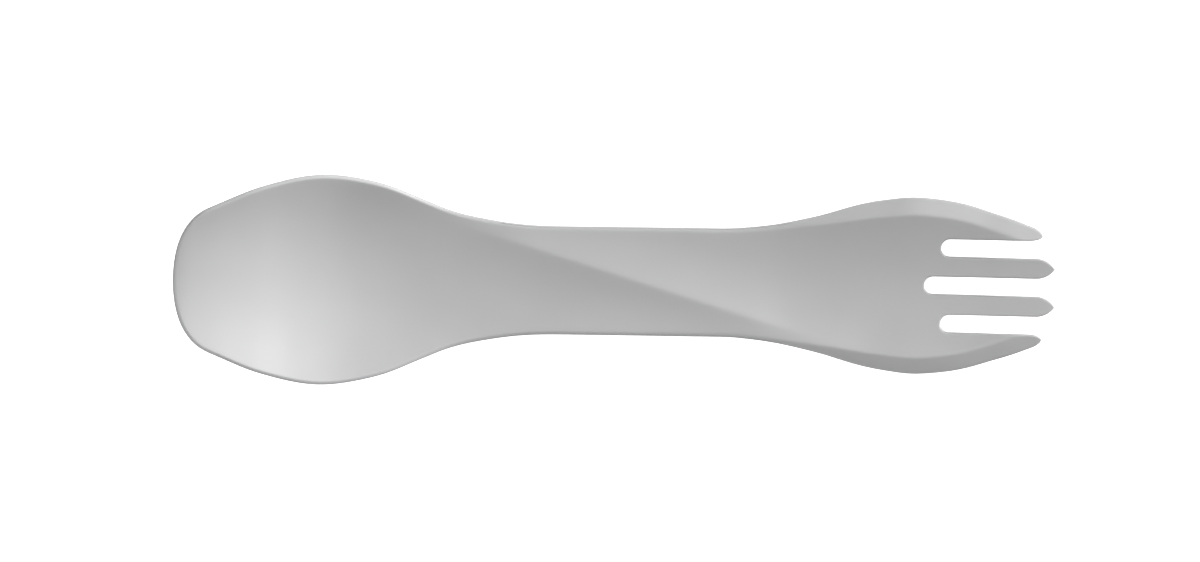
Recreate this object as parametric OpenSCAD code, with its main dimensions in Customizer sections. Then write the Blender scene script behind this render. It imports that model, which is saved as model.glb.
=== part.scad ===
// Double-ended spork: a deep spoon at one end, a four-tined fork at the other.
// The real thing is one plastic moulding. It is drawn here as seven regions
// that meet face to face, so that each region can be handled by itself.
// X runs from the spoon (-) to the fork (+), +Z is the hollow side.
// All regions share one top surface, one underside and one outline.

/* [Lengths] */
// Spoon tip to the neck where the handle begins
bowl_length = 54; // [44:1:64]
// Neck to the place where the fork begins to widen
handle_length = 56; // [44:1:70]
// From there to the points of the tines
fork_length = 50; // [42:1:60]

/* [Widths] */
// Widest place of the spoon
bowl_width = 38.2; // [32:0.1:44]
// Waist of the handle
handle_width = 19.8; // [16:0.1:24]
// Widest place of the fork
fork_width = 32.2; // [28:0.1:36]

/* [Heights] */
// Spoon tip above the spoon's floor
tip_rise = 10.6; // [6:0.1:12]
// Handle's middle line above the spoon's floor
handle_lift = 0.3; // [0:0.1:2]
// Tine points above the palm's floor
tine_lift = 3.4; // [0:0.1:5]

/* [Troughs] */
// Radius of the spoon's trough across its length
bowl_radius = 28; // [23:0.1:34]
// Radius of the handle's trough
handle_radius = 65; // [45:0.5:85]
// Radius of the fork's palm
palm_radius = 31; // [24:0.1:38]
// Radius across the tine points, which lie flatter than the palm
tine_radius = 44; // [30:0.5:60]

/* [Crest] */
// Height of the crest that crosses the handle
crest_height = 1.3; // [0.6:0.05:1.8]
// Distance over which each side of the crest fades out
crest_reach = 10.5; // [8:0.1:14]
// Turn of the crest from the length of the handle
crest_turn = 17; // [14:0.5:20]
// Where the crest crosses the handle's middle, toward +Y
crest_shift = 1.3; // [0:0.1:2]

/* [Walls] */
// Thickness at the spoon's floor
bowl_wall = 2.1; // [1.6:0.1:3]
// Thickness of the handle between the troughs and the underside
handle_wall = 2.1; // [1.7:0.1:2.8]
// Thickness of the palm
palm_wall = 2.1; // [1.6:0.1:3]
// Thickness of the spoon's and the tines' tips
tip_wall = 1.3; // [1:0.1:1.8]
// Height of the side wall round the outline
edge_height = 1.15; // [0.8:0.05:1.4]
// Inward lean of the side wall, from its top to its foot
edge_lean = 0.35; // [0.1:0.05:0.6]
// Depth of the two flats that the spork rests on
rest_cut = 0.18; // [0.1:0.01:0.25]

/* [Rim] */
// Width of the sloping rim round the spoon
bowl_rim = 0.62; // [0.4:0.02:1]
// Width of the rim along the handle
handle_rim = 0.6; // [0.4:0.05:1]
// Width of the bevel along the fork
fork_bevel = 3.1; // [2:0.1:3.6]
// Outward slope of the rim round the spoon's tip, in degrees
tip_slope = 15; // [8:1:24]
// Outward slope of the rim along spoon and handle, in degrees
rim_slope = 25.5; // [16:0.5:32]
// Outward slope of the bevel beside the palm, in degrees
palm_slope = 29.5; // [18:0.5:34]
// Outward slope of the bevel at the tine points, in degrees
point_slope = 16; // [8:1:28]

/* [Tines] */
// Gap between two tines
tine_gap = 3.25; // [2.6:0.05:3.6]
// Distance from one gap to the next
tine_pitch = 6.9; // [6.4:0.1:7.4]
// Depth of the middle gap, from the tine points
middle_gap_length = 23.7; // [20:0.1:27]
// Depth of the two outer gaps
outer_gap_length = 20.7; // [19.5:0.1:23]
// Free length of the tines that lies past the palm
tine_length = 18.4; // [16:0.1:19]
// Length of the pointed end of an inner tine
point_length = 3.4; // [2.4:0.1:5]
// How far the outer tines stop short of the inner ones
outer_short = 2.3; // [1:0.1:4]
// Length over which an outer tine's inner edge turns in at its tip
outer_turn = 2.5; // [1:0.1:4]
// Length over which its outer edge does
outer_corner = 1.6; // [0.6:0.1:3]
// Width left at a tine's point
point_width = 0.3; // [0.2:0.05:0.6]

/* [Hidden] */
plastic = [0.73, 0.73, 0.74];

spork_length = bowl_length + handle_length + fork_length;
tip_x = -spork_length / 2;
neck_x = tip_x + bowl_length;
palm_x = neck_x + handle_length;
point_x = spork_length / 2;
tine_x = point_x - tine_length;
bowl_half = bowl_width / 2;
handle_half = handle_width / 2;
fork_half = fork_width / 2;
gap_half = tine_gap / 2;
overrun = tine_gap;

// Plan of the spoon: how much of its extra half width is there, from the tip on
bowl_place_shares = [0, 0.13, 0.29, 0.49, 0.69, 0.85, 0.92, 1, 1.15, 1.3];
bowl_swell_shares = [0.08, 0.38, 0.76, 1, 0.835, 0.47, 0.305, 0.18, 0.04, 0];
// Plan of the fork: the same, from the place of its tips back toward the handle
fork_place_shares = [-0.1, 0, 0.07, 0.145, 0.235, 0.32, 0.41, 0.52, 0.62, 0.69, 0.755, 0.84, 0.93, 1.015, 1.1,
                     1.2];
fork_swell_shares = [-0.3, -0.05, 0.135, 0.37, 0.6, 0.81, 0.94, 1, 0.91, 0.81, 0.67, 0.46, 0.285, 0.145, 0.055,
                     0];
// The blunt end of the spoon: its length, and how square its corners are
blunt_share = 0.128;
blunt_power = 3.2;
blunt_length = bowl_length * blunt_share;

// Floor line: rise toward the spoon's tip, from the tip on
front_place_shares = [-0.01, 0.1, 0.25, 0.4, 0.55, 0.7, 0.84];
front_rise_shares = [1, 0.89, 0.64, 0.36, 0.147, 0.031, 0];
// Floor line: lift of the handle, over the handle's length, and beyond both its ends
arch_place_shares = [-0.28, -0.12, 0.07, 0.32, 0.5, 0.68, 0.93, 1.12, 1.28];
arch_lift_shares = [0, 0.1, 0.5, 0.92, 1, 0.92, 0.5, 0.1, 0];
// Floor line: rise of the tines, over the fork's length
back_place_shares = [0.3, 0.5, 0.7, 0.85, 1];
back_rise_shares = [0, 0.16, 0.44, 0.8, 1];
// Width of the bevel, over the fork's length and a little of the handle's
bevel_place_shares = [-0.25, 0, 0.13, 0.27, 0.38, 0.5, 0.75, 0.9];
bevel_width_shares = [0, 0.08, 0.32, 0.75, 0.93, 1, 1, 1.08];
// Where the crest keeps its height, over the handle's length
crest_place_shares = [-0.14, 0.02, 0.18, 0.5, 0.9, 1.06, 1.3];
crest_keep_shares = [0, 0.38, 0.82, 1, 0.97, 0.45, 0];

// How much of the spoon's curve across its length is there, from the tip on
bowl_bend_place_shares = [0.05, 0.3, 0.6, 0.95];
bowl_bend_keep_shares = [1.07, 0.98, 0.86, 0.91];

// Where one value eases into the next, as shares of the spoon, the handle or the fork
bowl_bend_shares = [0.65, 1.25];
palm_bend_shares = [-0.25, 0.25];
tine_bend_shares = [0.4, 0.9];
rim_fade_shares = [-0.5, 0.5];
tip_slope_shares = [0, 0.12];
palm_slope_shares = [-0.6, 0.05];
point_slope_shares = [0.2, 1.05];
bowl_wall_shares = [0, 0.5];
handle_wall_shares = [-0.25, 0.25];
palm_wall_shares = [0.75, 1.25];
tip_wall_shares = [0.5, 1];

// Cuts across the length, as shares of the way from tip to neck and so on
bowl_step_shares = [0, 0.008, 0.016, 0.035, 0.07, 0.11, 0.155, 0.2, 0.25, 0.3, 0.35, 0.4, 0.45,
                    0.5, 0.55, 0.6, 0.65, 0.7, 0.75, 0.8, 0.85, 0.9, 0.95, 1];
handle_steps = 22;
palm_steps = 16;
tine_steps = 7;
point_steps = 5;
// Lines along the length, each way from the middle, inside the rim
lines = 9;
tine_lines = 4;

// Smooth curve through places and values, flat beyond its ends
function tangent(p, v, i) = i <= 0 || i >= len(p) - 1 ? 0 : (v[i + 1] - v[i - 1]) / (p[i + 1] - p[i - 1]);
function hermite(a, b, ta, tb, t) =
    a * (1 + 2 * t) * (1 - t) * (1 - t) + ta * t * (1 - t) * (1 - t)
    + b * t * t * (3 - 2 * t) - tb * t * t * (1 - t);
function span(p, x, i = 0) = i >= len(p) - 2 || x < p[i + 1] ? i : span(p, x, i + 1);
function curve(p, v, x) =
    x <= p[0] ? v[0] : x >= p[len(p) - 1] ? v[len(p) - 1] :
    let (i = span(p, x), w = p[i + 1] - p[i])
    hermite(v[i], v[i + 1], tangent(p, v, i) * w, tangent(p, v, i + 1) * w, (x - p[i]) / w);

// Shares of the way along the spoon, the handle and the fork
function along_bowl(x) = (x - tip_x) / bowl_length;
function along_handle(x) = (x - neck_x) / handle_length;
function along_fork(x) = (x - palm_x) / fork_length;

// Half width of the outline, without the blunt end of the spoon
function half_at(x) =
    handle_half
    + (bowl_half - handle_half) * curve(bowl_place_shares, bowl_swell_shares, along_bowl(x))
    + (fork_half - handle_half) * curve(fork_place_shares, fork_swell_shares, 1 - along_fork(x));

// Smooth step from 0 to 1, the second time between two shares
function ease(t) = t <= 0 ? 0 : t >= 1 ? 1 : t * t * (3 - 2 * t);
function between(shares, t) = ease((t - shares[0]) / (shares[1] - shares[0]));

// Width of the rim that slopes down to the outline
function rim_at(x) =
    bowl_rim + (handle_rim - bowl_rim) * between(rim_fade_shares, along_handle(x))
    + (fork_bevel - handle_rim) * curve(bevel_place_shares, bevel_width_shares, along_fork(x));

// Its slope: the height that it loses per length outward
function slope_at(x) =
    tan(tip_slope
        + (rim_slope - tip_slope) * between(tip_slope_shares, along_bowl(x))
        + (palm_slope - rim_slope) * between(palm_slope_shares, along_fork(x))
        + (point_slope - palm_slope) * between(point_slope_shares, along_fork(x)));

// Blunt end: where a line at share q of the half width starts
function blunt_x(q) = tip_x + blunt_length * (1 - pow(max(0, 1 - q * q), 1 / blunt_power));

// Distance to the outline and the way inward, near the blunt end
function blunt_left(x) = max(0, 1 - (x - tip_x) / blunt_length);
function inward(x, y) =
    let (w = half_at(x), e = blunt_left(x))
    [blunt_power * pow(e, blunt_power - 1) / blunt_length, -2 * y / (w * w)];
function inside(x, y) = 1 - pow(y / half_at(x), 2) - pow(blunt_left(x), blunt_power);
function depth_at(x, y) =
    x >= tip_x + blunt_length ? half_at(x) - abs(y) : max(0, inside(x, y)) / max(norm(inward(x, y)), 1 / spork_length);
function way_in(x, y) = x >= tip_x + blunt_length ? [0, -sign(y)] : inward(x, y) / norm(inward(x, y));

// Floor line of the trough, its curve across, and the crest
rest_z = bowl_wall - rest_cut;
function floor_at(x) =
    rest_z
    + tip_rise * curve(front_place_shares, front_rise_shares, along_bowl(x))
    + handle_lift * curve(arch_place_shares, arch_lift_shares, along_handle(x))
    + tine_lift * curve(back_place_shares, back_rise_shares, along_fork(x))
    + (palm_wall - bowl_wall) * ease(along_handle(x));
function bend_at(x) =
    let (a = 1 - between(bowl_bend_shares, along_bowl(x)),
         b = between(palm_bend_shares, along_fork(x)),
         c = between(tine_bend_shares, along_fork(x)))
    a * curve(bowl_bend_place_shares, bowl_bend_keep_shares, along_bowl(x)) / bowl_radius
    + (1 - a - b) / handle_radius + (b - c) / palm_radius + c / tine_radius;
function crest_line(x) = crest_shift - x * tan(crest_turn);
function crest_at(x, y) =
    let (t = abs(y - crest_line(x)) * cos(crest_turn) / crest_reach)
    t >= 1 ? 0 : crest_height * curve(crest_place_shares, crest_keep_shares, along_handle(x)) * (1 - t) * (1 - t);
function hollow_at(x, y) = floor_at(x) + y * y * bend_at(x) / 2 + crest_at(x, y);

// Top surface: the hollow, with the rim sloping down outside it
function top_at(x, y) =
    let (over = rim_at(x) - depth_at(x, y))
    over <= 0 ? hollow_at(x, y) :
    let (p = [x, y] + way_in(x, y) * over)
    hollow_at(p[0], p[1]) - over * slope_at(x);

// Underside: a shallow keel that meets the foot of the side wall
function wall_at(x) =
    tip_wall
    + (bowl_wall - tip_wall) * between(bowl_wall_shares, along_bowl(x))
    + (handle_wall - bowl_wall) * between(handle_wall_shares, along_handle(x))
    + (palm_wall - handle_wall) * between(palm_wall_shares, along_handle(x))
    + (tip_wall - palm_wall) * between(tip_wall_shares, along_fork(x));
function edge_z(x) =
    let (w = half_at(x), r = rim_at(x))
    floor_at(x) + (w - r) * (w - r) * bend_at(x) / 2 - r * slope_at(x) - edge_height;
function under_at(x, y) =
    let (keel = floor_at(x) - wall_at(x), w = half_at(x))
    keel + (edge_z(x) - keel) * pow(y / w, 2);

// Closed solid between a grid of top points and a grid of underside points
module slab(top, under) {
    rows = len(top);
    cols = len(top[0]);
    low = rows * cols;
    function at(r, c) = r * cols + c;
    function pair(a, b, c, d) = [[a, b, c], [a, c, d]];
    upper = [for (r = [0:rows - 2], c = [0:cols - 2])
        each pair(at(r, c), at(r, c + 1), at(r + 1, c + 1), at(r + 1, c))];
    lower = [for (r = [0:rows - 2], c = [0:cols - 2])
        each pair(low + at(r, c), low + at(r + 1, c), low + at(r + 1, c + 1), low + at(r, c + 1))];
    right = [for (r = [0:rows - 2])
        each pair(at(r, 0), at(r + 1, 0), low + at(r + 1, 0), low + at(r, 0))];
    left = [for (r = [0:rows - 2])
        each pair(at(r + 1, cols - 1), at(r, cols - 1), low + at(r, cols - 1), low + at(r + 1, cols - 1))];
    back = [for (c = [0:cols - 2])
        each pair(at(0, c + 1), at(0, c), low + at(0, c), low + at(0, c + 1))];
    front = [for (c = [0:cols - 2])
        each pair(at(rows - 1, c), at(rows - 1, c + 1), low + at(rows - 1, c + 1), low + at(rows - 1, c))];
    polyhedron(points = concat([for (row = top) each row], [for (row = under) each row]),
               faces = concat(upper, lower, right, left, back, front));
}

// Share of the half width at each line along the length, from -1 to 1
function rim_share(x) = 1 - rim_at(x) / half_at(x);
function line_shares(x) = concat([-1], [for (i = [-lines:lines]) rim_share(x) * i / lines], [1]);
start_shares = line_shares(tip_x + blunt_length);

// One region across the whole width, between the given cuts
function region_row(cut_from, cut_to, step) =
    [for (i = [0:len(start_shares) - 1])
        let (q = start_shares[i], start = max(cut_from, blunt_x(q)), x = start + (cut_to - start) * step)
        [x, line_shares(max(x, tip_x + blunt_length))[i]]];
function top_row(row) = [for (p = row) let (y = p[1] * half_at(p[0])) [p[0], y, top_at(p[0], y)]];
function lean_in(x, q) =
    let (w = half_at(x), way = way_in(x, q * w), near = max(0, 1 - depth_at(x, q * w) / bowl_rim))
    [x, q * w] + way * edge_lean * near;
function under_row(row) =
    [for (p = row) let (f = lean_in(p[0], p[1])) [f[0], f[1], under_at(p[0], p[1] * half_at(p[0]))]];
module region(cut_from, cut_to, steps) {
    rows = [for (s = steps) region_row(cut_from, cut_to, s)];
    slab([for (row = rows) top_row(row)], [for (row = rows) under_row(row)]);
}

// Everything below the surface that the spork rests on
module below_rest() {
    translate([tip_x, -bowl_width / 2, -bowl_wall]) cube([spork_length, bowl_width, bowl_wall]);
}

// Gap between two tines, with a round root
module gap(y, gap_length) {
    height = tip_rise + bowl_radius;
    root = point_x - gap_length + gap_half;
    translate([root, y, -overrun]) cylinder(r = gap_half, h = height, $fn = 48);
    translate([root, y - gap_half, -overrun]) cube([gap_length, tine_gap, height]);
}

module spoon_bowl() {
    color(plastic) difference() {
        region(tip_x, neck_x, bowl_step_shares);
        below_rest();
    }
}

module handle() {
    color(plastic) difference() {
        region(neck_x, palm_x, [for (i = [0:handle_steps]) i / handle_steps]);
        below_rest();
    }
}

module fork_palm() {
    color(plastic) difference() {
        region(palm_x, tine_x, [for (i = [0:palm_steps]) i / palm_steps]);
        below_rest();
        gap(0, middle_gap_length);
        for (side = [-1, 1]) gap(side * tine_pitch, outer_gap_length);
    }
}

// A tine between two edge lines, given row by row as [x, right edge, left edge].
// Each row of leans says how far the foot of its right and of its left wall lies inward.
module tine(edges, leans) {
    function across(e, i) = e[1] + (e[2] - e[1]) * i / tine_lines;
    function foot(lean, i) = lean[0] - (lean[0] + lean[1]) * i / tine_lines;
    top = [for (e = edges) [for (i = [0:tine_lines])
        let (y = across(e, i)) [e[0], y, top_at(e[0], y)]]];
    under = [for (r = [0:len(edges) - 1]) [for (i = [0:tine_lines])
        let (e = edges[r], y = across(e, i)) [e[0], y + foot(leans[r], i), under_at(e[0], y)]]];
    slab(top, under);
}

// Inner tine: straight sides and a pointed end
inner_half = (tine_pitch - tine_gap) / 2;
module inner_tine(side) {
    bend_x = point_x - point_length;
    straight = [for (i = [0:tine_steps - 1]) tine_x + (bend_x - tine_x) * i / tine_steps];
    ogive = [for (i = [0:point_steps]) bend_x + point_length * i / point_steps];
    middle = side * tine_pitch / 2;
    rows = [for (x = concat(straight, ogive))
        let (t = max(0, x - bend_x) / point_length,
             w = inner_half - (inner_half - point_width / 2) * t * t)
        [x, middle - w, middle + w]];
    tine(rows, [for (r = rows) [0, 0]]);
}

// Outer tine: straight inside, the outline outside, and a rounded tip that takes a long turn
// from the gap and a short one from the outline
module outer_tine(side) {
    end_x = point_x - outer_short;
    bend_x = end_x - max(outer_turn, outer_corner);
    inner_y = tine_pitch + gap_half;
    tip_y = inner_y + inner_half / 2;
    function closing(x, turn_length) =
        let (t = max(0, x - end_x + turn_length) / turn_length) 1 - sqrt(max(0, 1 - t * t));
    straight = [for (i = [0:tine_steps - 1]) tine_x + (bend_x - tine_x) * i / tine_steps];
    turn = [for (i = [0:point_steps]) bend_x + (end_x - bend_x) * sin(90 * i / point_steps)];
    places = concat(straight, turn);
    rows = [for (x = places)
        [x, inner_y + (tip_y - point_width / 2 - inner_y) * closing(x, outer_turn),
            half_at(x) - (half_at(x) - tip_y - point_width / 2) * closing(x, outer_corner)]];
    leans = [for (x = places) [0, edge_lean * (1 - closing(x, outer_corner))]];
    if (side > 0) tine(rows, leans);
    else tine([for (r = rows) [r[0], -r[2], -r[1]]], [for (l = leans) [l[1], l[0]]]);
}

module inner_tine_left() {
    color(plastic) inner_tine(1);
}

module inner_tine_right() {
    color(plastic) inner_tine(-1);
}

module outer_tine_left() {
    color(plastic) outer_tine(1);
}

module outer_tine_right() {
    color(plastic) outer_tine(-1);
}

spoon_bowl();
handle();
fork_palm();
outer_tine_left();
inner_tine_left();
inner_tine_right();
outer_tine_right();
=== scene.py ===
# %% [markdown]
# # A double-ended spork
#
# The object is one moulding of light grey plastic: a deep spoon at one end, a fork with four
# tines at the other, and between them a handle that a slanting crest crosses. It has no seams,
# so it is made here as one closed surface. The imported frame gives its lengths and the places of
# its parts, and every visible surface is a formula over the plan of the object.

# %% Load the frame
import math

import bpy
import numpy as np
from mathutils import Matrix, Vector


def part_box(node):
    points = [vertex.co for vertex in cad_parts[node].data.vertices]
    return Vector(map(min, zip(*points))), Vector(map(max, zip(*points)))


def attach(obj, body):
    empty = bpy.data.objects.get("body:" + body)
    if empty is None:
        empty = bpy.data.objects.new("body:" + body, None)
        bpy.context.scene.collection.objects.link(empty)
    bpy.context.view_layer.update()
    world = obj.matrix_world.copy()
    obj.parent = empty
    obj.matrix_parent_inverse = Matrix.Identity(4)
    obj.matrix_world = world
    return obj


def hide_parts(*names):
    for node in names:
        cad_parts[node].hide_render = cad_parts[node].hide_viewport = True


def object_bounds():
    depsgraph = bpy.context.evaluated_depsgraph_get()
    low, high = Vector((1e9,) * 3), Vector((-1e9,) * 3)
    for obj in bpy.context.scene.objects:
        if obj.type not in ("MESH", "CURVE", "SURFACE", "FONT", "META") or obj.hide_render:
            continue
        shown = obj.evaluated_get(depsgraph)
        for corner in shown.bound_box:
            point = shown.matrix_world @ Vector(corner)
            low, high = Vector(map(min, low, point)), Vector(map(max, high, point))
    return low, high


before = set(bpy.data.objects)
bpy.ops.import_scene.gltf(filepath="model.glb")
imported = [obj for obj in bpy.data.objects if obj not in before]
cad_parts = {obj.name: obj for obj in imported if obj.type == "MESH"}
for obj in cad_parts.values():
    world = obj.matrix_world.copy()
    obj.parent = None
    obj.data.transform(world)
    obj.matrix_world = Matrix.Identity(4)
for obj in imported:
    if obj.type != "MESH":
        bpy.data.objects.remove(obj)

cad_low, cad_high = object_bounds()
print("nodes in the frame:", sorted(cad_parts))
print("box of the frame in millimetres:",
      [round((b - a) * 1000, 2) for a, b in zip(cad_low, cad_high)])

# %% [markdown]
# ## Sizes
#
# The frame says how long the spork is, where the spoon ends and where the fork begins. What a
# box cannot tell, such as the waist of the handle or the radius of a trough, has a name and a
# real size here. All lengths are in metres, so millimetres are written as multiples of mm.

# %% Places along the length, from the frame
mm = 0.001
tip_x = cad_low.x
point_x = cad_high.x
neck_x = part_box("handle")[0].x
palm_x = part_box("handle")[1].x
bowl_length = neck_x - tip_x
handle_length = palm_x - neck_x
fork_length = point_x - palm_x
print("spoon, handle and fork in millimetres:",
      [round(length / mm, 2) for length in (bowl_length, handle_length, fork_length)])

# %% Widths, heights and radii
bowl_half = 19.1 * mm
handle_half = 9.9 * mm
fork_half = 16.1 * mm
tip_rise = 10.6 * mm
handle_lift = 0.3 * mm
tine_lift = 3.4 * mm
bowl_radius = 28 * mm
handle_radius = 65 * mm
palm_radius = 31 * mm
tine_radius = 44 * mm

# %% The crest, the walls and the rim
crest_height = 1.3 * mm
crest_reach = 10.5 * mm
crest_turn = math.radians(17)
crest_shift = 1.3 * mm
crest_round = 0.45 * mm
bowl_wall = 2.1 * mm
handle_wall = 2.1 * mm
palm_wall = 2.1 * mm
tip_wall = 1.3 * mm
edge_height = 1.15 * mm
edge_lean = 0.35 * mm
rest_cut = 0.18 * mm
bowl_rim = 0.62 * mm
handle_rim = 0.6 * mm
fork_bevel = 3.1 * mm
tip_slope = 15
rim_slope = 25.5
palm_slope = 29.5
point_slope = 16
edge_round = 0.3 * mm

# %% The tines
gap_half = 1.625 * mm
tine_pitch = 6.9 * mm
middle_root_x = point_x - 23.7 * mm
outer_root_x = point_x - 20.7 * mm
tine_half = tine_pitch / 2 - gap_half
point_length = 3.4 * mm
point_power = 0.8
outer_end_x = point_x - 2.3 * mm
outer_round_length = 2.5 * mm
outer_corner_length = 1.6 * mm
outer_tip_y = tine_pitch + gap_half + tine_half / 2

# %% [markdown]
# ## Profiles along the length
#
# A moulding like this is drawn from a few long curves: how wide it is, how high its middle runs,
# how deep its trough is. Each curve goes through a handful of places and values, written as
# shares of the spoon, the handle or the fork. A place below 0 or above 1 lies in the next part.
# The pieces between them are cubic, and a short running average then takes out the last changes
# of curvature, which a satin surface would show.

# %% A smooth curve through places and values
def curve_through(places, values, x):
    """Cubic pieces between the given values, with the slope at each place taken from its two
    neighbours, and level beyond both ends."""
    places, values = np.array(places, float), np.array(values, float)
    slope = np.zeros_like(values)
    slope[1:-1] = (values[2:] - values[:-2]) / (places[2:] - places[:-2])
    x = np.clip(x, places[0], places[-1])
    i = np.clip(np.searchsorted(places, x, side="right") - 1, 0, len(places) - 2)
    width = places[i + 1] - places[i]
    t = (x - places[i]) / width
    return (values[i] * (1 + 2 * t) * (1 - t) ** 2 + slope[i] * width * t * (1 - t) ** 2
            + values[i + 1] * t * t * (3 - 2 * t) - slope[i + 1] * width * t * t * (1 - t))


def ease(start, end, t):
    """0 before start, 1 after end, and a smooth step of 3 t squared less 2 t cubed between."""
    t = np.clip((t - start) / (end - start), 0, 1)
    return t * t * (3 - 2 * t)


# %% A running average over a fine line of places
line_step = 0.05 * mm
line_margin = 12 * mm
line_x = np.arange(tip_x - line_margin, point_x + line_margin, line_step)


def smoothed(values, spread=0.9 * mm):
    """The values along line_x, averaged with bell-shaped weights of the given spread, out to
    four spreads on each side. Both ends are carried on with their own slope, so that the
    average doesn't bend them."""
    reach = int(4 * spread / line_step)
    weights = np.exp(-0.5 * (np.arange(-reach, reach + 1) * line_step / spread) ** 2)
    before = 2 * values[0] - values[reach:0:-1]
    after = 2 * values[-1] - values[-2:-reach - 2:-1]
    return np.convolve(np.concatenate([before, values, after]), weights / weights.sum(), "valid")


along_bowl = (line_x - tip_x) / bowl_length
along_handle = (line_x - neck_x) / handle_length
along_fork = (line_x - palm_x) / fork_length
print("places along the length:", len(line_x))

# %% Half width of the outline
bowl_place_shares = [0, 0.13, 0.29, 0.49, 0.69, 0.85, 0.92, 1, 1.15, 1.3]
bowl_swell_shares = [0.08, 0.38, 0.76, 1, 0.835, 0.47, 0.305, 0.18, 0.04, 0]
bowl_swell = curve_through(bowl_place_shares, bowl_swell_shares, along_bowl)
# The places of the fork count back from the points of the tines.
fork_place_shares = [-0.1, 0, 0.07, 0.145, 0.235, 0.32, 0.41, 0.52,
                     0.62, 0.69, 0.755, 0.84, 0.93, 1.015, 1.1, 1.2]
fork_swell_shares = [-0.3, -0.05, 0.135, 0.37, 0.6, 0.81, 0.94, 1,
                     0.91, 0.81, 0.67, 0.46, 0.285, 0.145, 0.055, 0]
fork_swell = curve_through(fork_place_shares, fork_swell_shares, 1 - along_fork)
half_line = smoothed(
    handle_half + (bowl_half - handle_half) * bowl_swell + (fork_half - handle_half) * fork_swell)


def half_at(x):
    """Half width of the outline at x, without the blunt end of the spoon."""
    return np.interp(x, line_x, half_line)


print("widest half of spoon and fork in millimetres:",
      round(half_line[line_x < 0].max() / mm, 2), round(half_line[line_x > 0].max() / mm, 2))

# %% Height of the trough's middle line
front_place_shares = [-0.01, 0.1, 0.25, 0.4, 0.55, 0.7, 0.84]
front_rise_shares = [1, 0.89, 0.64, 0.36, 0.147, 0.031, 0]
arch_place_shares = [-0.28, -0.12, 0.07, 0.32, 0.5, 0.68, 0.93, 1.12, 1.28]
arch_lift_shares = [0, 0.1, 0.5, 0.92, 1, 0.92, 0.5, 0.1, 0]
back_place_shares = [0.3, 0.5, 0.7, 0.85, 1]
back_rise_shares = [0, 0.16, 0.44, 0.8, 1]
floor_line = smoothed(
    bowl_wall - rest_cut
    + tip_rise * curve_through(front_place_shares, front_rise_shares, along_bowl)
    + handle_lift * curve_through(arch_place_shares, arch_lift_shares, along_handle)
    + tine_lift * curve_through(back_place_shares, back_rise_shares, along_fork)
    + (palm_wall - bowl_wall) * ease(0, 1, along_handle))

# %% Curve of the trough across the length
bowl_part = 1 - ease(0.65, 1.25, along_bowl)
bowl_bend_place_shares = [0.05, 0.3, 0.6, 0.95]
bowl_bend_keep_shares = [1.07, 0.98, 0.86, 0.91]
bowl_bend_keep = curve_through(bowl_bend_place_shares, bowl_bend_keep_shares, along_bowl)
palm_part = ease(-0.25, 0.25, along_fork)
tine_part = ease(0.4, 0.9, along_fork)
bend_line = smoothed(
    bowl_part * bowl_bend_keep / bowl_radius
    + (1 - bowl_part - palm_part) / handle_radius
    + (palm_part - tine_part) / palm_radius + tine_part / tine_radius)

# %% Width and slope of the rim, and thickness of the wall
bevel_place_shares = [-0.25, 0, 0.13, 0.27, 0.38, 0.5, 0.75, 0.9]
bevel_width_shares = [0, 0.08, 0.32, 0.75, 0.93, 1, 1, 1.08]
rim_line = smoothed(
    bowl_rim + (handle_rim - bowl_rim) * ease(-0.5, 0.5, along_handle)
    + (fork_bevel - handle_rim) * curve_through(bevel_place_shares, bevel_width_shares, along_fork))
slope_line = np.tan(np.radians(smoothed(
    tip_slope + (rim_slope - tip_slope) * ease(0, 0.12, along_bowl)
    + (palm_slope - rim_slope) * ease(-0.6, 0.05, along_fork)
    + (point_slope - palm_slope) * ease(0.2, 1.05, along_fork))))
wall_line = smoothed(
    tip_wall + (bowl_wall - tip_wall) * ease(0, 0.5, along_bowl)
    + (handle_wall - bowl_wall) * ease(-0.25, 0.25, along_handle)
    + (palm_wall - handle_wall) * ease(0.75, 1.25, along_handle)
    + (tip_wall - palm_wall) * ease(0.5, 1, along_fork))
edge_line = (floor_line + (half_line - rim_line) ** 2 * bend_line / 2
             - rim_line * slope_line - edge_height)

# %% How much of the crest is there
crest_place_shares = [-0.14, 0.02, 0.18, 0.5, 0.9, 1.06, 1.3]
crest_keep_shares = [0, 0.38, 0.82, 1, 0.97, 0.45, 0]
crest_keep = curve_through(crest_place_shares, crest_keep_shares, along_handle)
crest_line = crest_height * smoothed(crest_keep)

# %% [markdown]
# ## Distance to the outline
#
# Rims, bevels and rounded edges all follow the outline at a steady distance. Along the flanks
# that distance is plain. Round the blunt end of the spoon the outline is a squared-off oval, so
# the distance comes from how fast a level function grows there: its value over its slope. The
# gaps between the tines are half-open slots with round roots, for which it is exact.

# %% The blunt end of the spoon
blunt_length = 0.128 * bowl_length
blunt_power = 3.2
level_guard = 1e-12
least_growth = 0.2


def blunt_x(share):
    """Where a line along the spoon begins, at a share of the half width: the outline there is
    share squared plus the share of the blunt length left to the power 3.2, equal to one."""
    return tip_x + blunt_length * (1 - np.maximum(0, 1 - share * share) ** (1 / blunt_power))


def outline_distance(x, y):
    """Distance to the outline, and the unit step that leads inward. The level is the root of
    the squared share of the half width plus the power of the length left: one on the outline.
    On the middle line, where it doesn't grow, the two guards keep the division in bounds."""
    half = half_at(x)
    left = np.maximum(0, 1 - (x - tip_x) / blunt_length)
    level = np.sqrt((y / half) ** 2 + left ** blunt_power + level_guard)
    rise_x = -blunt_power / 2 * left ** (blunt_power - 1) / blunt_length / level
    rise_y = y / half ** 2 / level
    size = np.maximum(np.hypot(rise_x, rise_y), least_growth / half)
    return np.maximum(0, 1 - level) / size, -rise_x / size, -rise_y / size


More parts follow.
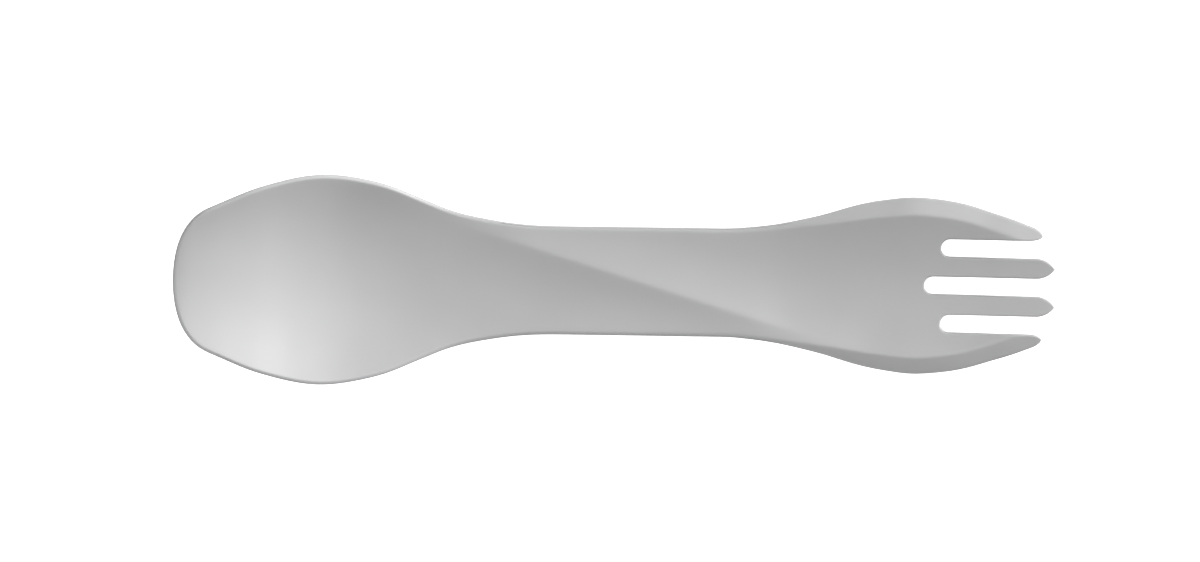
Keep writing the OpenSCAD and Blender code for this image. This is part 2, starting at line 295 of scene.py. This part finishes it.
# %% The gaps and the points of the tines
def gap_distance(x, y, root_x, middle_y):
    """Distance to a slot with a round root, open toward the points of the tines."""
    return np.hypot(np.minimum(0, x - root_x - gap_half), y - middle_y) - gap_half


def inner_half_at(x):
    """Half width of an inner tine: full, then closing as one less t squared to the power 0.8,
    which gives a pointed arch with a small round at its end."""
    t = np.clip((x - point_x + point_length) / point_length, 0, 1)
    return tine_half * np.maximum(0, 1 - t * t) ** point_power


def outer_closing_at(x, length):
    """How far one edge of an outer tine has closed over the last length before its end: a
    quarter of an oval, from 0 to 1."""
    t = np.clip((x - outer_end_x + length) / length, 0, 1)
    return 1 - np.sqrt(np.maximum(0, 1 - t * t))


# %% [markdown]
# ## The surfaces
#
# The hollow side is a trough with the crest laid over it, and outside the rim's inner line it
# slopes down to the outline. Both creases are slightly round, as a mould's are. The underside is
# a shallow keel, cut flat where the spork rests.

# %% The hollow side
rim_round_bowl = 0.15 * mm
rim_round_fork = 0.3 * mm


def hollow_height(x, y):
    """Trough height plus crest: the floor, plus y squared over twice the radius, plus the
    crest's height times the squared share of its reach that is left."""
    aside = np.abs(y - crest_shift + x * math.tan(crest_turn)) * math.cos(crest_turn)
    left = np.clip(1 - (np.hypot(aside, crest_round) - crest_round) / crest_reach, 0, 1)
    trough = np.interp(x, line_x, floor_line) + y * y * np.interp(x, line_x, bend_line) / 2
    return trough + np.interp(x, line_x, crest_line) * left * left


def rim_round_at(x):
    """Radius-like size of the rim's inner crease: small round the spoon, larger on the fork."""
    return rim_round_bowl + (rim_round_fork - rim_round_bowl) * ease(neck_x, palm_x, x)


def top_height(x, y):
    """The hollow side: inside the rim the trough itself, and outside it the height at the rim's
    inner line less the way past it times the rim's slope, blended over the round crease."""
    distance, in_x, in_y = outline_distance(x, y)
    over = np.interp(x, line_x, rim_line) - distance
    over = (over + np.hypot(over, rim_round_at(x))) / 2
    return hollow_height(x + in_x * over, y + in_y * over) - over * np.interp(x, line_x, slope_line)


# %% The underside
def under_height(x, y):
    """Keel height plus the squared share of the half width times the way up to the edge."""
    keel = np.interp(x, line_x, floor_line - wall_line)
    edge = np.interp(x, line_x, edge_line)
    return np.maximum(0, keel + (edge - keel) * (y / half_at(x)) ** 2)


def edge_drop(distance):
    """How far a round edge falls away: a quarter circle within edge_round of the outline."""
    t = np.clip(1 - distance / edge_round, 0, 1)
    return edge_round * (1 - np.sqrt(1 - t * t))


# %% [markdown]
# ## The grid
#
# The plan is covered by four strips, one for each tine, that run the whole length of the spork.
# Neighbours share their common line up to the root of the gap and part there. Lines lie close
# together where the surface turns quickly: along the outline, the rim's inner line and the gaps.
# Rows start on the blunt end of the spoon and lie close together at the roots and the points.

# %% Rows of the spoon
bowl_row_count = 96
edge_shares = 1 - np.sin(np.radians(np.arange(90, -1, -15)))
rim_rows = np.array([0.42, 0.54, 0.65, 0.75, 0.85, 0.95, 1.07, 1.25, 1.5, 1.8, 2.2, 2.6]) * mm
start_steps = np.concatenate([edge_shares * edge_round, rim_rows])
even_steps = np.linspace(start_steps[-1], bowl_length, bowl_row_count)[1:]
bowl_steps = np.concatenate([start_steps, even_steps]) / bowl_length
print("rows of the spoon:", len(bowl_steps))

# %% Rows of the handle and the fork
handle_row_count = 90
palm_row_count = 100
tip_row_count = 22
last_tip_turn = 87.5
root_approach = 1.6
least_spacing = 0.12 * mm


def near_root(root_x):
    """Rows that close in on a root from the palm, and then follow its half circle."""
    before = root_x - edge_shares[1:] * root_approach * edge_round
    within = root_x + gap_half * (1 - np.cos(np.radians(np.arange(0, 91, 10))))
    return np.concatenate([before, within])


turn_x = min(point_x - point_length, outer_end_x - outer_round_length)
plain_rows = np.concatenate([np.linspace(neck_x, palm_x, handle_row_count),
                             np.linspace(palm_x, turn_x, palm_row_count)])
root_rows = np.concatenate([near_root(middle_root_x), near_root(outer_root_x)])
spacing = np.abs(plain_rows[:, None] - root_rows[None, :]).min(axis=1)
kept_rows = plain_rows[spacing > least_spacing]
# Rows that agree to 8 decimals of a metre are one row.
middle_rows = np.unique(np.round(np.concatenate([kept_rows, root_rows, [neck_x, turn_x]]), 8))
tip_steps = np.sin(np.radians(np.linspace(0, last_tip_turn, tip_row_count)))
print("rows of the handle and the fork:", len(middle_rows) + len(tip_steps) - 1)

# %% Lines along the length
gap_steps = edge_shares * edge_round
rim_steps = np.array([-2, -1.2, -0.5, 0, 0.5, 1.2, 2])
outside_shares = np.array([0.25, 0.5, 0.75])
outer_even_shares = np.linspace(0, 1, 14)[1:-1]
inner_even_shares = np.linspace(0, 1, 17)[1:-1]
full_room = 7 * mm


def outer_lines(x, width):
    """Distances of an outer strip's lines from the outline, for each x: close at the edge, close
    round the rim's inner line, then even, and close again at the gap. Where the strip is
    narrower than 7 mm, all of them are drawn in alike."""
    room = np.maximum(width, full_room)
    rim = np.interp(x, line_x, rim_line)[..., None]
    crease = rim + rim_steps * rim_round_at(x)[..., None]
    outside = edge_round + (crease[..., :1] - edge_round) * outside_shares
    edge = np.broadcast_to(gap_steps, crease.shape[:-1] + gap_steps.shape)
    last = room[..., None] - gap_steps[::-1]
    inside = crease[..., -1:] + (last[..., :1] - crease[..., -1:]) * outer_even_shares
    lines = np.concatenate([edge, outside, crease, inside, last], axis=-1)
    return lines * (width / room)[..., None]


def inner_lines(width):
    """Distances of an inner strip's lines from its first edge: close at both ends."""
    room = np.maximum(width, 2 * tine_half)[..., None]
    even = gap_steps[-1] + (room - 2 * gap_steps[-1]) * inner_even_shares
    first = np.broadcast_to(gap_steps, even.shape[:-1] + gap_steps.shape)
    lines = np.concatenate([first, even, room - gap_steps[::-1]], axis=-1)
    return lines * (width[..., None] / room)


# %% Edges of the strips
border_share = 0.42
border_turn_x = palm_x - 10 * mm
border_set_x = middle_root_x - 6 * mm


def border_at(x):
    """Where an inner strip meets an outer one on the +Y side: at a share of the half width in
    the spoon and the handle, easing over to the middle line of the outer gap."""
    share = border_share * half_at(x)
    return share + (tine_pitch - share) * ease(border_turn_x, border_set_x, x)


def gap_half_at(x, root_x):
    """Half width of a gap: nothing before its root, a half circle, then the full gap."""
    t = np.clip(x - root_x, 0, gap_half)
    return np.sqrt(np.maximum(0, t * (2 * gap_half - t)))


def outer_strip(x):
    """Gap edge and outline of the outer tine on the +Y side. Its rounded tip takes a long turn
    from the gap and a short one from the outline."""
    low = border_at(x) + gap_half_at(x, outer_root_x)
    high = half_at(x)
    return (low + (outer_tip_y - low) * outer_closing_at(x, outer_round_length),
            high + (outer_tip_y - high) * outer_closing_at(x, outer_corner_length))


def inner_strip(x):
    """The two gap edges of the inner tine on the +Y side, with its pointed end."""
    middle = tine_pitch / 2
    pointed = x > point_x - point_length
    low = np.where(pointed, middle - inner_half_at(x), gap_half_at(x, middle_root_x))
    high = np.where(pointed, middle + inner_half_at(x), border_at(x) - gap_half_at(x, outer_root_x))
    return low, high


# %% Places of all grid points
table_count = 500


def strip_grid(end_x, lines_of):
    """x and y of one strip on the +Y side, row by row. In the spoon each line starts on the
    blunt end at its own share of the half width. Elsewhere the rows are straight."""
    tip_rows = turn_x + (end_x - turn_x) * tip_steps[1:]
    straight = np.concatenate([middle_rows, tip_rows])
    y_straight = lines_of(straight)
    corner_x = tip_x + blunt_length
    shares = (lines_of(np.array([corner_x])) / half_at(corner_x))[0]
    start = blunt_x(shares)
    x_bowl = start + (neck_x - start) * bowl_steps[:-1, None]
    table_x = np.linspace(corner_x, neck_x, table_count)
    table = lines_of(table_x)
    y_bowl = np.stack([np.interp(x, table_x, y) for x, y in zip(x_bowl.T, table.T)], axis=1)
    y_bowl = np.where(x_bowl < corner_x, shares * half_at(x_bowl), y_bowl)
    x_all = np.concatenate([x_bowl, np.repeat(straight[:, None], len(shares), axis=1)])
    return x_all, np.concatenate([y_bowl, y_straight])


def outer_places(x):
    """y of the outer strip's lines, from the gap to the outline."""
    low, high = outer_strip(x)
    return high[..., None] - outer_lines(x, high - low)[..., ::-1]


def inner_places(x):
    """y of the inner strip's lines, from the middle gap to the outer gap."""
    low, high = inner_strip(x)
    return low[..., None] + inner_lines(high - low)


outer_x, outer_y = strip_grid(outer_end_x, outer_places)
inner_x, inner_y = strip_grid(point_x, inner_places)
print("lines of an outer and of an inner strip:", outer_x.shape[1], inner_x.shape[1])

# %% Distance to the nearest edge
turn_step = 0.002 * mm
far_off = 1


def tip_distance(x, y, strip):
    """Distance to a strip's own two edges near its tip: the way across, times the cosine of the
    edge's turn from the length. Further back it is a metre, more than any other distance."""
    low, high = strip(x)
    low_turn, high_turn = [(b - a) / (2 * turn_step)
                           for a, b in zip(strip(x - turn_step), strip(x + turn_step))]
    nearest = np.minimum((y - low) / np.hypot(1, low_turn), (high - y) / np.hypot(1, high_turn))
    return np.where(x > turn_x, np.maximum(nearest, 0), far_off)


def nearest_edge(x, y, strip):
    """The least distance to the outline, to the gaps beside the strip and to its tip."""
    outline = outline_distance(x, y)[0]
    outer_gap = gap_distance(x, y, outer_root_x, tine_pitch)
    middle_gap = gap_distance(x, y, middle_root_x, 0)
    gaps = np.minimum(outer_gap, middle_gap)
    return np.maximum(0, np.minimum(np.minimum(outline, gaps), tip_distance(x, y, strip)))


# %% Both surfaces of a strip
def strip_surfaces(x, y, strip):
    """Top and underside points of a strip on the +Y side, and of its mirror place on the -Y
    side. The foot of the outline's side wall lies inward by edge_lean."""
    distance = nearest_edge(x, y, strip)
    outline, in_x, in_y = outline_distance(x, y)
    lean = edge_lean * np.clip(1 - outline / bowl_rim, 0, 1) * (x < turn_x)
    low = under_height(x, y) + edge_drop(distance)
    sides = []
    for side in (1, -1):
        high = top_height(x, side * y) - edge_drop(distance)
        top = np.stack([x, side * y, high], axis=-1)
        under = np.stack([x + in_x * lean, side * (y + in_y * lean), low], axis=-1)
        sides.append((top, under) if side > 0 else (top[:, ::-1], under[:, ::-1]))
    return sides


inner_left, inner_right = strip_surfaces(inner_x, inner_y, inner_strip)
outer_left, outer_right = strip_surfaces(outer_x, outer_y, outer_strip)
strips = [outer_right, inner_right, inner_left, outer_left]
print("points in both surfaces:", 2 * sum(top.size // 3 for top, under in strips))

# %% [markdown]
# ## One closed mesh
#
# Each strip gets its own numbers, and where two strips still share a line the second takes the
# numbers of the first. Top and underside use the same pattern, and a wall joins them wherever
# the plan has an edge. Because the edges were rounded in both surfaces, the wall is a plain band.

# %% Numbers of the points, with shared lines
root_row = {"middle": int((inner_x[:, 0] <= middle_root_x).sum()),
            "outer": int((inner_x[:, -1] <= outer_root_x).sum())}
closed_rows = [root_row["outer"], root_row["middle"], root_row["outer"]]
numbers = []
count = 0
for top, under in strips:
    size = top.shape[0] * top.shape[1]
    numbers.append(np.arange(count, count + size).reshape(top.shape[:2]))
    count += size
for first, second, closed in zip(numbers, numbers[1:], closed_rows):
    second[:closed, 0] = first[:closed, -1]
print("rows before the middle and the outer roots:", root_row)


# %% Faces
def grid_faces(ids):
    """Squares over a grid of numbers, turned so that they face up."""
    corner_ids = [ids[:-1, :-1], ids[1:, :-1], ids[1:, 1:], ids[:-1, 1:]]
    return np.stack(corner_ids, axis=-1).reshape(-1, 4)


def wall_faces(ids):
    """A band from a line of top points down to the underside, whose points count on from the
    top's. It faces to the right of the line."""
    return np.stack([ids[:-1], ids[:-1] + count, ids[1:] + count, ids[1:]], axis=-1)


faces = []
open_right = [0] + [closed - 1 for closed in closed_rows]
open_left = [closed - 1 for closed in closed_rows] + [0]
for ids, right, left in zip(numbers, open_right, open_left):
    faces += [grid_faces(ids), grid_faces(ids)[:, ::-1] + count]
    faces += [wall_faces(ids[right:, 0]), wall_faces(ids[left:, -1][::-1])]
    faces += [wall_faces(ids[0, ::-1]), wall_faces(ids[-1, :])]
faces = np.concatenate(faces)
tops = [top.reshape(-1, 3) for top, under in strips]
unders = [under.reshape(-1, 3) for top, under in strips]
points = np.concatenate(tops + unders)
used, faces = np.unique(faces, return_inverse=True)
points, faces = points[used], faces.reshape(-1, 4)
print("points and squares:", len(points), len(faces))


# %% The piece
def mesh_piece(name, points, faces):
    """A smooth-shaded object at the origin from arrays of points and faces."""
    mesh = bpy.data.meshes.new(name)
    mesh.from_pydata(points, [], faces)
    mesh.validate()
    mesh.polygons.foreach_set("use_smooth", np.ones(len(mesh.polygons), bool))
    piece = bpy.data.objects.new(name, mesh)
    bpy.context.scene.collection.objects.link(piece)
    return piece


spork = mesh_piece("spork_moulding", points, faces)
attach(spork, "root")
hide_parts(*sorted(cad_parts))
print("triangles:", 2 * len(spork.data.polygons))

# %% [markdown]
# ## The plastic
#
# Light grey moulded plastic with a fine satin skin. The colour is nearly even, with a faint
# cloudiness where the melt flowed. The skin of the mould leaves a grain far below a millimetre
# in the gloss and in the surface, so that highlights are broad and soft.

# %% Material
plastic = bpy.data.materials.new("satin_grey_plastic")
plastic.use_nodes = True
nodes, links = plastic.node_tree.nodes, plastic.node_tree.links
shader = nodes["Principled BSDF"]
shader.inputs["IOR"].default_value = 1.49
coordinates = nodes.new("ShaderNodeTexCoord")


def noise(scale, detail):
    """A noise texture on the object's own metres; scale counts its lumps per metre."""
    texture = nodes.new("ShaderNodeTexNoise")
    texture.inputs["Scale"].default_value = scale
    texture.inputs["Detail"].default_value = detail
    links.new(coordinates.outputs["Object"], texture.inputs["Vector"])
    return texture.outputs["Fac"]


def spread(value, low, high):
    """Carries a noise from its usual 0.3 to 0.7 over to the range from low to high."""
    ranged = nodes.new("ShaderNodeMapRange")
    for name, number in zip(("From Min", "From Max", "To Min", "To Max"), (0.3, 0.7, low, high)):
        ranged.inputs[name].default_value = number
    links.new(value, ranged.inputs["Value"])
    return ranged.outputs["Result"]


# %% Colour, gloss and grain
darker_grey = (0.392, 0.392, 0.395, 1)
lighter_grey = (0.408, 0.408, 0.41, 1)
clouds = noise(60, 2)
tint = nodes.new("ShaderNodeMix")
tint.data_type = "RGBA"
tint.inputs["A"].default_value = darker_grey
tint.inputs["B"].default_value = lighter_grey
links.new(spread(clouds, 0, 1), tint.inputs["Factor"])
links.new(tint.outputs["Result"], shader.inputs["Base Color"])
links.new(spread(noise(900, 3), 0.36, 0.4), shader.inputs["Roughness"])
bump = nodes.new("ShaderNodeBump")
bump.inputs["Strength"].default_value = 0.12
bump.inputs["Distance"].default_value = 0.02 * mm
links.new(noise(2600, 3), bump.inputs["Height"])
links.new(bump.outputs["Normal"], shader.inputs["Normal"])
spork.data.materials.append(plastic)

# %% [markdown]
# ## Floor and light
#
# The photograph has a white ground without a visible shadow. A pale floor sends light back up to
# the edges. The floor and the room glow white for the camera alone, so that no shadow shows and
# the white doesn't flatten the shading. The floor lies a hair below the flats that the spork
# rests on, because two faces in one plane would show through each other.
#
# The key lamp stands low beyond the fork, on the +Y side, and rakes along the spork: it sets the
# rising end of the spoon and the bevels apart from the floor of the trough. A high lamp beyond
# the spoon fills its hollow, three at 45 degrees light the fork and the near side, and a faint
# low one beyond the spoon keeps the faces that look its way from going dark.

# %% Floor
floor_reach = 1.5
floor_z = -0.05 * mm
floor_mesh = bpy.data.meshes.new("floor")
corners = [(-floor_reach, -floor_reach, floor_z), (floor_reach, -floor_reach, floor_z),
           (floor_reach, floor_reach, floor_z), (-floor_reach, floor_reach, floor_z)]
floor_mesh.from_pydata(corners, [], [(0, 1, 2, 3)])
floor = bpy.data.objects.new("floor", floor_mesh)
bpy.context.scene.collection.objects.link(floor)
paper = bpy.data.materials.new("white_paper")
paper.use_nodes = True
paper_shader = paper.node_tree.nodes["Principled BSDF"]
paper_shader.inputs["Base Color"].default_value = (0.8, 0.8, 0.8, 1)
paper_shader.inputs["Roughness"].default_value = 0.9
paper_shader.inputs["Emission Strength"].default_value = 1
seen_directly = paper.node_tree.nodes.new("ShaderNodeLightPath").outputs["Is Camera Ray"]
paper.node_tree.links.new(seen_directly, paper_shader.inputs["Emission Color"])
floor_mesh.materials.append(paper)

# %% World
room_light = 0.05
world = bpy.data.worlds.new("soft_room")
world.use_nodes = True
world_nodes = world.node_tree.nodes
background = world_nodes["Background"]
background.inputs["Color"].default_value = (1, 1, 1, 1)
strength = world_nodes.new("ShaderNodeMapRange")
strength.inputs["To Min"].default_value = room_light
strength.inputs["To Max"].default_value = 1
camera_ray = world_nodes.new("ShaderNodeLightPath").outputs["Is Camera Ray"]
world.node_tree.links.new(camera_ray, strength.inputs["Value"])
world.node_tree.links.new(strength.outputs["Result"], background.inputs["Strength"])
bpy.context.scene.world = world
bpy.context.scene.view_settings.view_transform = "Standard"


# %% Softboxes
def softbox(name, azimuth, elevation, size, power, distance=3):
    """A square lamp that looks at the origin from a direction: azimuth counts from +X toward
    +Y, elevation from the floor, both in degrees."""
    a, e = math.radians(azimuth), math.radians(elevation)
    back = Vector((math.cos(a) * math.cos(e), math.sin(a) * math.cos(e), math.sin(e)))
    light = bpy.data.lights.new(name, "AREA")
    light.shape = "SQUARE"
    light.size, light.energy = size, power
    lamp = bpy.data.objects.new(name, light)
    lamp.rotation_euler = back.to_track_quat("Z", "Y").to_euler()
    lamp.location = back * distance
    bpy.context.scene.collection.objects.link(lamp)
    return lamp


# name, azimuth, elevation, size in metres, watts
softbox("key_softbox", 30, 12, 1.3, 170)
softbox("spoon_softbox", 180, 65, 2, 41)
softbox("fork_softbox", 30, 45, 2, 10.5)
softbox("near_fork_softbox", 330, 45, 2, 9.5)
softbox("near_spoon_softbox", 240, 45, 2, 22)
softbox("end_softbox", 180, 15, 1.8, 6)

# %% [markdown]
# ## Camera
#
# The spork is seen from straight above through a very long lens, leaning about four degrees so
# that the edges toward +Y just show, and turned a little, so that the fork lies lower.

# %% Camera
photo_width, photo_height = 1200, 562
tip_pixel, point_pixel = 173.9, 1055.0
pixel = (point_x - tip_x) / (point_pixel - tip_pixel)
camera_data = bpy.data.cameras.new("camera")
camera_data.lens = 400
camera_data.sensor_width = 36
camera = bpy.data.objects.new("camera", camera_data)
bpy.context.scene.collection.objects.link(camera)
bpy.context.scene.camera = camera
lean_back = math.radians(-4.2)
roll = math.radians(0.8)
aim_x = (photo_width / 2 - (tip_pixel + point_pixel) / 2) * pixel
aim_y = 0.17 * mm
aim_z = 5 * mm
aim = Vector((aim_x, aim_y, aim_z))
turn = Matrix.Rotation(roll, 4, "Z") @ Matrix.Rotation(lean_back, 4, "X")
distance = pixel * photo_width * camera_data.lens / camera_data.sensor_width
camera.matrix_world = Matrix.Translation(aim) @ turn @ Matrix.Translation((0, 0, distance))
camera_data.clip_start = 0.1
camera_data.clip_end = 20


def photo_pixel(place):
    """Where a point falls in the photograph's frame."""
    seen = camera.matrix_world.inverted() @ Vector(place)
    scale = camera_data.lens / camera_data.sensor_width * photo_width / -seen.z
    return round(photo_width / 2 + seen.x * scale, 1), round(photo_height / 2 - seen.y * scale, 1)


bpy.context.view_layer.update()
widest_x = tip_x + 0.49 * bowl_length
tip_z = 13.5 * mm
rim_z = 9.5 * mm
point_z = 3.3 * mm
marks = {"spoon's tip": (tip_x, 0, tip_z),
         "widest place, +Y": (widest_x, bowl_half, rim_z),
         "widest place, -Y": (widest_x, -bowl_half, rim_z),
         "inner point, +Y": (point_x, tine_pitch / 2, point_z),
         "inner point, -Y": (point_x, -tine_pitch / 2, point_z)}
for name, mark in marks.items():
    print(name, "at pixel", photo_pixel(mark))
